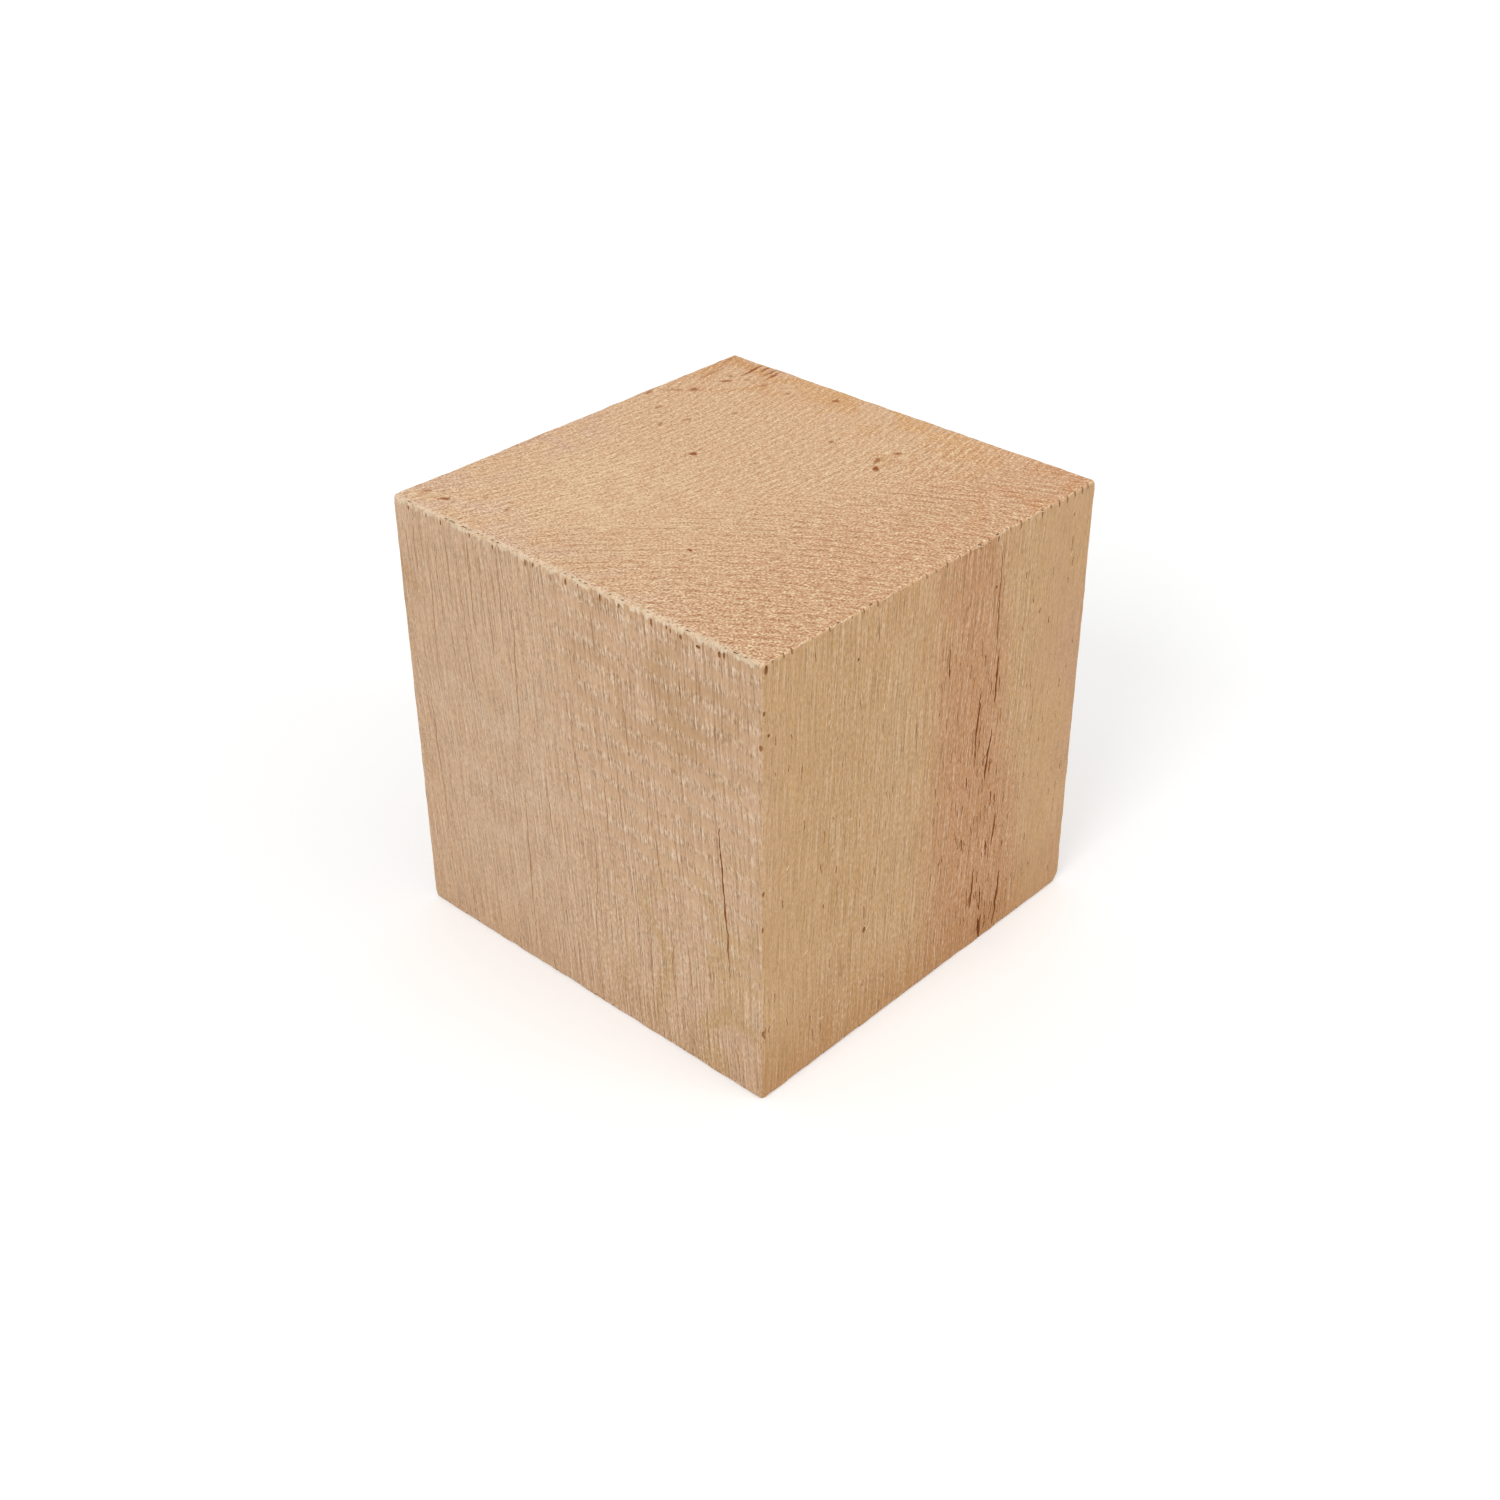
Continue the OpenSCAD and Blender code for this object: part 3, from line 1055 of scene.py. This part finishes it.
class WOODENCUBE_OT_block(bpy.types.Operator):
    """Builds the sawn block with its checks, splits, ticks, torn lines, notches and pits"""

    bl_idname = "wooden_cube.block"
    bl_label = "Sawn block"

    def execute(self, context):
        wood = context.scene.wooden_cube_block
        draw = np.random.default_rng(BLOCK_SEED)
        points, faces, sides = box_skin(HALF)
        points = eased(points, HALF, wood) + (HIGH + LOW) / 2
        # No fibres lie under the block, so its lower half reaches down to the floor
        points[:, 2] -= np.where(points[:, 2] < HEIGHT / 2, SKIN, 0)
        block = add_piece("sawn_block", points, faces.tolist(), [make(wood) for make in MAKERS])
        block.data.polygons.foreach_set("material_index", SIDE_FINISHES[sides])
        walls = torn_finish("check_walls", wood.wall_tone)
        torn = torn_finish("torn_wood", wood.torn_tone)
        hollow = torn_finish("hollows", wood.hollow_tone)

        checks, splits, ticks, lines, notches, pits = (Shell() for _ in range(6))
        for row in CHECKS:
            add_check(checks, draw, row, wood.check_ratio)
        for row in FIBRE_LINES:
            add_check(lines, draw, row, wood.line_ratio)
        for row in NOTCHES:
            add_notch(notches, draw, CHECKED, *row)
        for face, length in ((RIGHT, DEPTH), (REAR, WIDTH)):
            add_other_notches(notches, draw, face, length, wood.notch_pitch)
        for row in PITS:
            add_pit(pits, draw, row)
        for row in CHECKS:
            if row[0] is CHECKED:
                add_splits(splits, draw, row, wood.check_ratio)
        for row in TICKS:
            add_ticks(ticks, draw, row, wood.tick_ratio)
        for shell, finish in (
            (checks, walls),
            (splits, walls),
            (ticks, walls),
            (lines, torn),
            (notches, torn),
            (pits, hollow),
        ):
            carve(block, shell.build("cutter", [finish]))
        smooth_by_angle(block, CREASE_ANGLE)
        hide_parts(CUBE)
        dress(block)
        return {"FINISHED"}


FIBRE_SEED = 29
FIBRE_STATIONS = 6
# A fibre's greatest bow along the face, as a share of its length
BOW = 0.18
# How fibres lie along an arris: turn from upright and its spread, in degrees, and drop from the top, in mm
ARRIS_TURN = (85, 25)
ARRIS_DROP = (0.05, 0.4)
# How deep a fibre and a splinter are rooted below the face, in mm
FIBRE_ROOT = 0.06
SPLINTER_ROOT = 0.02


def add_fibre(shell, draw, face, start, turn, length, thickness):
    """One loose fibre: a thin three-sided sliver that bows away from the wood."""
    across, up, out = np.array(face.across), np.array(face.up), np.array(face.out)
    along = math.cos(turn) * up + math.sin(turn) * across
    side = math.cos(turn) * across - math.sin(turn) * up
    steps = np.linspace(0, 1, FIBRE_STATIONS)
    bow = draw.uniform(-BOW, BOW) * length
    line = (
        start
        + np.outer(steps * length, along)
        + np.outer(bow * np.sin(np.pi * steps), side)
        + np.outer(thickness * 0.3 * np.sin(np.pi * steps), out)
    )
    rings = []
    for point, step in zip(line[1:-1], steps[1:-1]):
        half = thickness / 2 * math.sin(math.pi * step) ** 0.6
        low_side = point - side * half - out * half
        high_side = point + side * half - out * half
        rings.append([low_side, high_side, point + out * half])
    shell.add_strip(rings, line[0], line[-1])


class WOODENCUBE_OT_fibres(bpy.types.Operator):
    """Builds the loose fibres along the upper arrises and the splinters on the two faces in view"""

    bl_idname = "wooden_cube.fibres"
    bl_label = "Loose fibres"

    def execute(self, context):
        loose = context.scene.wooden_cube_fibres
        draw = np.random.default_rng(FIBRE_SEED)
        shell = Shell()
        arrises = ((SAWN, DEPTH, loose.sawn_count), (CHECKED, WIDTH, loose.checked_count))
        for face, edge, count in arrises:
            for place in draw.uniform(-edge / 2 + 1.0, edge / 2 - 1.0, count):
                turn = math.radians(draw.normal(*ARRIS_TURN))
                start = face.points([place], [TOP - draw.uniform(*ARRIS_DROP)], [-FIBRE_ROOT])[0]
                length = loose.length * draw.uniform(0.5, 1.2)
                add_fibre(shell, draw, face, start, turn, length, loose.thickness)
        thick = loose.thickness * loose.splinter_scale
        for face, across, up, length, lean in SPLINTERS:
            start = face.points([across], [up], [-SPLINTER_ROOT])[0]
            add_fibre(shell, draw, face, start, math.radians(lean), length, thick)
        shell.points = np.clip(shell.points, LOW, HIGH)
        piece = shell.build("loose_fibres", [fibre_finish(loose.tone)])
        dress(piece)
        return {"FINISHED"}


# The floor is round and lies a hair below the block, in mm. The block hides an opening in it, through
# which light reaches the underside.
FLOOR_RADIUS = 3000.0
FLOOR_SIDES = 64
FLOOR_GAP = 0.05
OPENING_INSET = 1.0
WHITE = (1, 1, 1, 1)
FLOOR_BOUNCE = (0.62, 0.61, 0.60, 1)
FLOOR_GLOW = 0.25
# Where the two lamps stand, and how wide they are, in metres
KEY_PLACE = (-2.3, -0.35, 1.5)
KEY_SIZE = 1.4
FILL_PLACE = (0.9, -2.4, 0.9)
FILL_SIZE = 1.6
# Width of the camera's sensor in mm, and the nearest that it sees in metres
SENSOR_WIDTH = 36
NEAREST = 0.01


def seen_plainly(f):
    """1 on what the camera sees, directly or in a gloss or through glass, and 0 on what only lights."""
    direct = f.node("ShaderNodeLightPath", output="Is Camera Ray")
    glossy = f.node("ShaderNodeLightPath", output="Is Glossy Ray")
    passing = f.node("ShaderNodeLightPath", output="Is Transmission Ray")
    return direct.larger(glossy).larger(passing)


def floor_finish(tone):
    """A pale floor that looks white where no shadow falls, and can be looked through from below."""
    f = Finish(bpy.data.materials.new("floor"))
    matt = f.node("ShaderNodeBsdfDiffuse", sockets={"Color": FLOOR_BOUNCE})
    pale = f.node("ShaderNodeBsdfDiffuse", sockets={"Color": (*tone, 1)})
    glow = f.node("ShaderNodeEmission", sockets={"Color": WHITE, "Strength": FLOOR_GLOW})
    shown = f.node("ShaderNodeAddShader", sockets={0: pale, 1: glow})
    front = f.node("ShaderNodeMixShader", sockets={0: seen_plainly(f), 1: matt, 2: shown})
    clear = f.node("ShaderNodeBsdfTransparent")
    behind = f.node("ShaderNodeNewGeometry", output="Backfacing")
    both = f.node("ShaderNodeMixShader", sockets={0: behind, 1: front, 2: clear})
    f.node("ShaderNodeOutputMaterial", sockets={"Surface": both})
    return f.owner


def add_floor(finish):
    """A wide round floor in four parts, which meet on lines from the opening's corners to the rim."""
    turns = math.pi / 4 + np.arange(FLOOR_SIDES) * (math.tau / FLOOR_SIDES)
    rim = np.stack([np.cos(turns), np.sin(turns)], -1) * FLOOR_RADIUS
    quarter = FLOOR_SIDES // 4
    opening = np.sign(rim[::quarter]) * (HALF[:2] - OPENING_INSET)
    flat = np.concatenate([rim, opening])
    points = np.column_stack([flat, np.full(len(flat), -FLOOR_GAP)])
    faces = []
    for part in range(4):
        arc = [corner % FLOOR_SIDES for corner in range(part * quarter, (part + 1) * quarter + 1)]
        faces.append([*arc, FLOOR_SIDES + (part + 1) % 4, FLOOR_SIDES + part])
    return add_piece("floor", points, faces, [finish])


def sky_light(strength):
    """An even light from all round, which looks white where the camera sees it."""
    f = Finish(bpy.data.worlds.new("studio"))
    even = f.node("ShaderNodeBackground", sockets={"Color": WHITE, "Strength": strength})
    white = f.node("ShaderNodeBackground", sockets={"Color": WHITE, "Strength": 1.0})
    both = f.node("ShaderNodeMixShader", sockets={0: seen_plainly(f), 1: even, 2: white})
    f.node("ShaderNodeOutputWorld", sockets={"Surface": both})
    return f.owner


def add_lamp(name, place, size, power):
    """A soft square lamp that faces the block's middle."""
    lamp = bpy.data.lights.new(name, "AREA")
    lamp.size = size
    lamp.energy = power
    holder = bpy.data.objects.new(name, lamp)
    bpy.context.scene.collection.objects.link(holder)
    middle = Vector((0, 0, HEIGHT / 2 * MM))
    holder.location = place
    holder.rotation_euler = (middle - holder.location).to_track_quat("-Z", "Y").to_euler()


def add_camera(stage):
    """The camera at the photograph's angle, aimed a little off the block's middle."""
    azimuth, elevation, roll = stage.azimuth, stage.elevation, stage.roll
    back = Vector(
        (
            math.sin(azimuth) * math.cos(elevation),
            -math.cos(azimuth) * math.cos(elevation),
            math.sin(elevation),
        )
    )
    level = Vector((math.cos(azimuth), math.sin(azimuth), 0))
    upright = back.cross(level)
    right = level * math.cos(roll) + upright * math.sin(roll)
    up = upright * math.cos(roll) - level * math.sin(roll)
    aim = Vector((0, 0, HEIGHT / 2 * MM)) + right * stage.aim_right + up * stage.aim_up
    lens = bpy.data.cameras.new("camera")
    lens.lens = stage.lens
    lens.sensor_width = SENSOR_WIDTH
    lens.clip_start = NEAREST
    holder = bpy.data.objects.new("camera", lens)
    bpy.context.scene.collection.objects.link(holder)
    turned = Matrix((right, up, back)).transposed().to_4x4()
    holder.matrix_world = Matrix.Translation(aim + back * stage.distance) @ turned
    bpy.context.scene.camera = holder


class WOODENCUBE_OT_stage(bpy.types.Operator):
    """Builds the floor, the light and the camera"""

    bl_idname = "wooden_cube.stage"
    bl_label = "Stage"

    def execute(self, context):
        stage = context.scene.wooden_cube_stage
        add_floor(floor_finish(stage.floor_tone))
        context.scene.world = sky_light(stage.sky)
        add_lamp("key_lamp", KEY_PLACE, KEY_SIZE, stage.key)
        add_lamp("fill_lamp", FILL_PLACE, FILL_SIZE, stage.fill)
        add_camera(stage)
        context.scene.view_settings.view_transform = "Standard"
        return {"FINISHED"}


class WOODENCUBE_PT_panel(bpy.types.Panel):
    """Lists the wooden cube's operators in the sidebar"""

    bl_idname = "WOODENCUBE_PT_panel"
    bl_label = "Wooden Cube"
    bl_space_type = "VIEW_3D"
    bl_region_type = "UI"
    bl_category = "Wooden Cube"

    def draw(self, context):
        for operator in OPERATORS:
            self.layout.operator(operator.bl_idname)


OPERATORS = (WOODENCUBE_OT_block, WOODENCUBE_OT_fibres, WOODENCUBE_OT_stage)
SETTINGS = {
    "wooden_cube_block": BlockSettings,
    "wooden_cube_fibres": FibreSettings,
    "wooden_cube_stage": StageSettings,
}


def register():
    for part in (*SETTINGS.values(), *OPERATORS, WOODENCUBE_PT_panel):
        bpy.utils.register_class(part)
    for name, group in SETTINGS.items():
        setattr(bpy.types.Scene, name, PointerProperty(type=group))


def unregister():
    for name in SETTINGS:
        delattr(bpy.types.Scene, name)
    for part in reversed((*SETTINGS.values(), *OPERATORS, WOODENCUBE_PT_panel)):
        bpy.utils.unregister_class(part)


def main():
    register()
    bpy.ops.wooden_cube.stage()
    bpy.ops.wooden_cube.block()
    bpy.ops.wooden_cube.fibres()


if __name__ == "__main__":
    main()
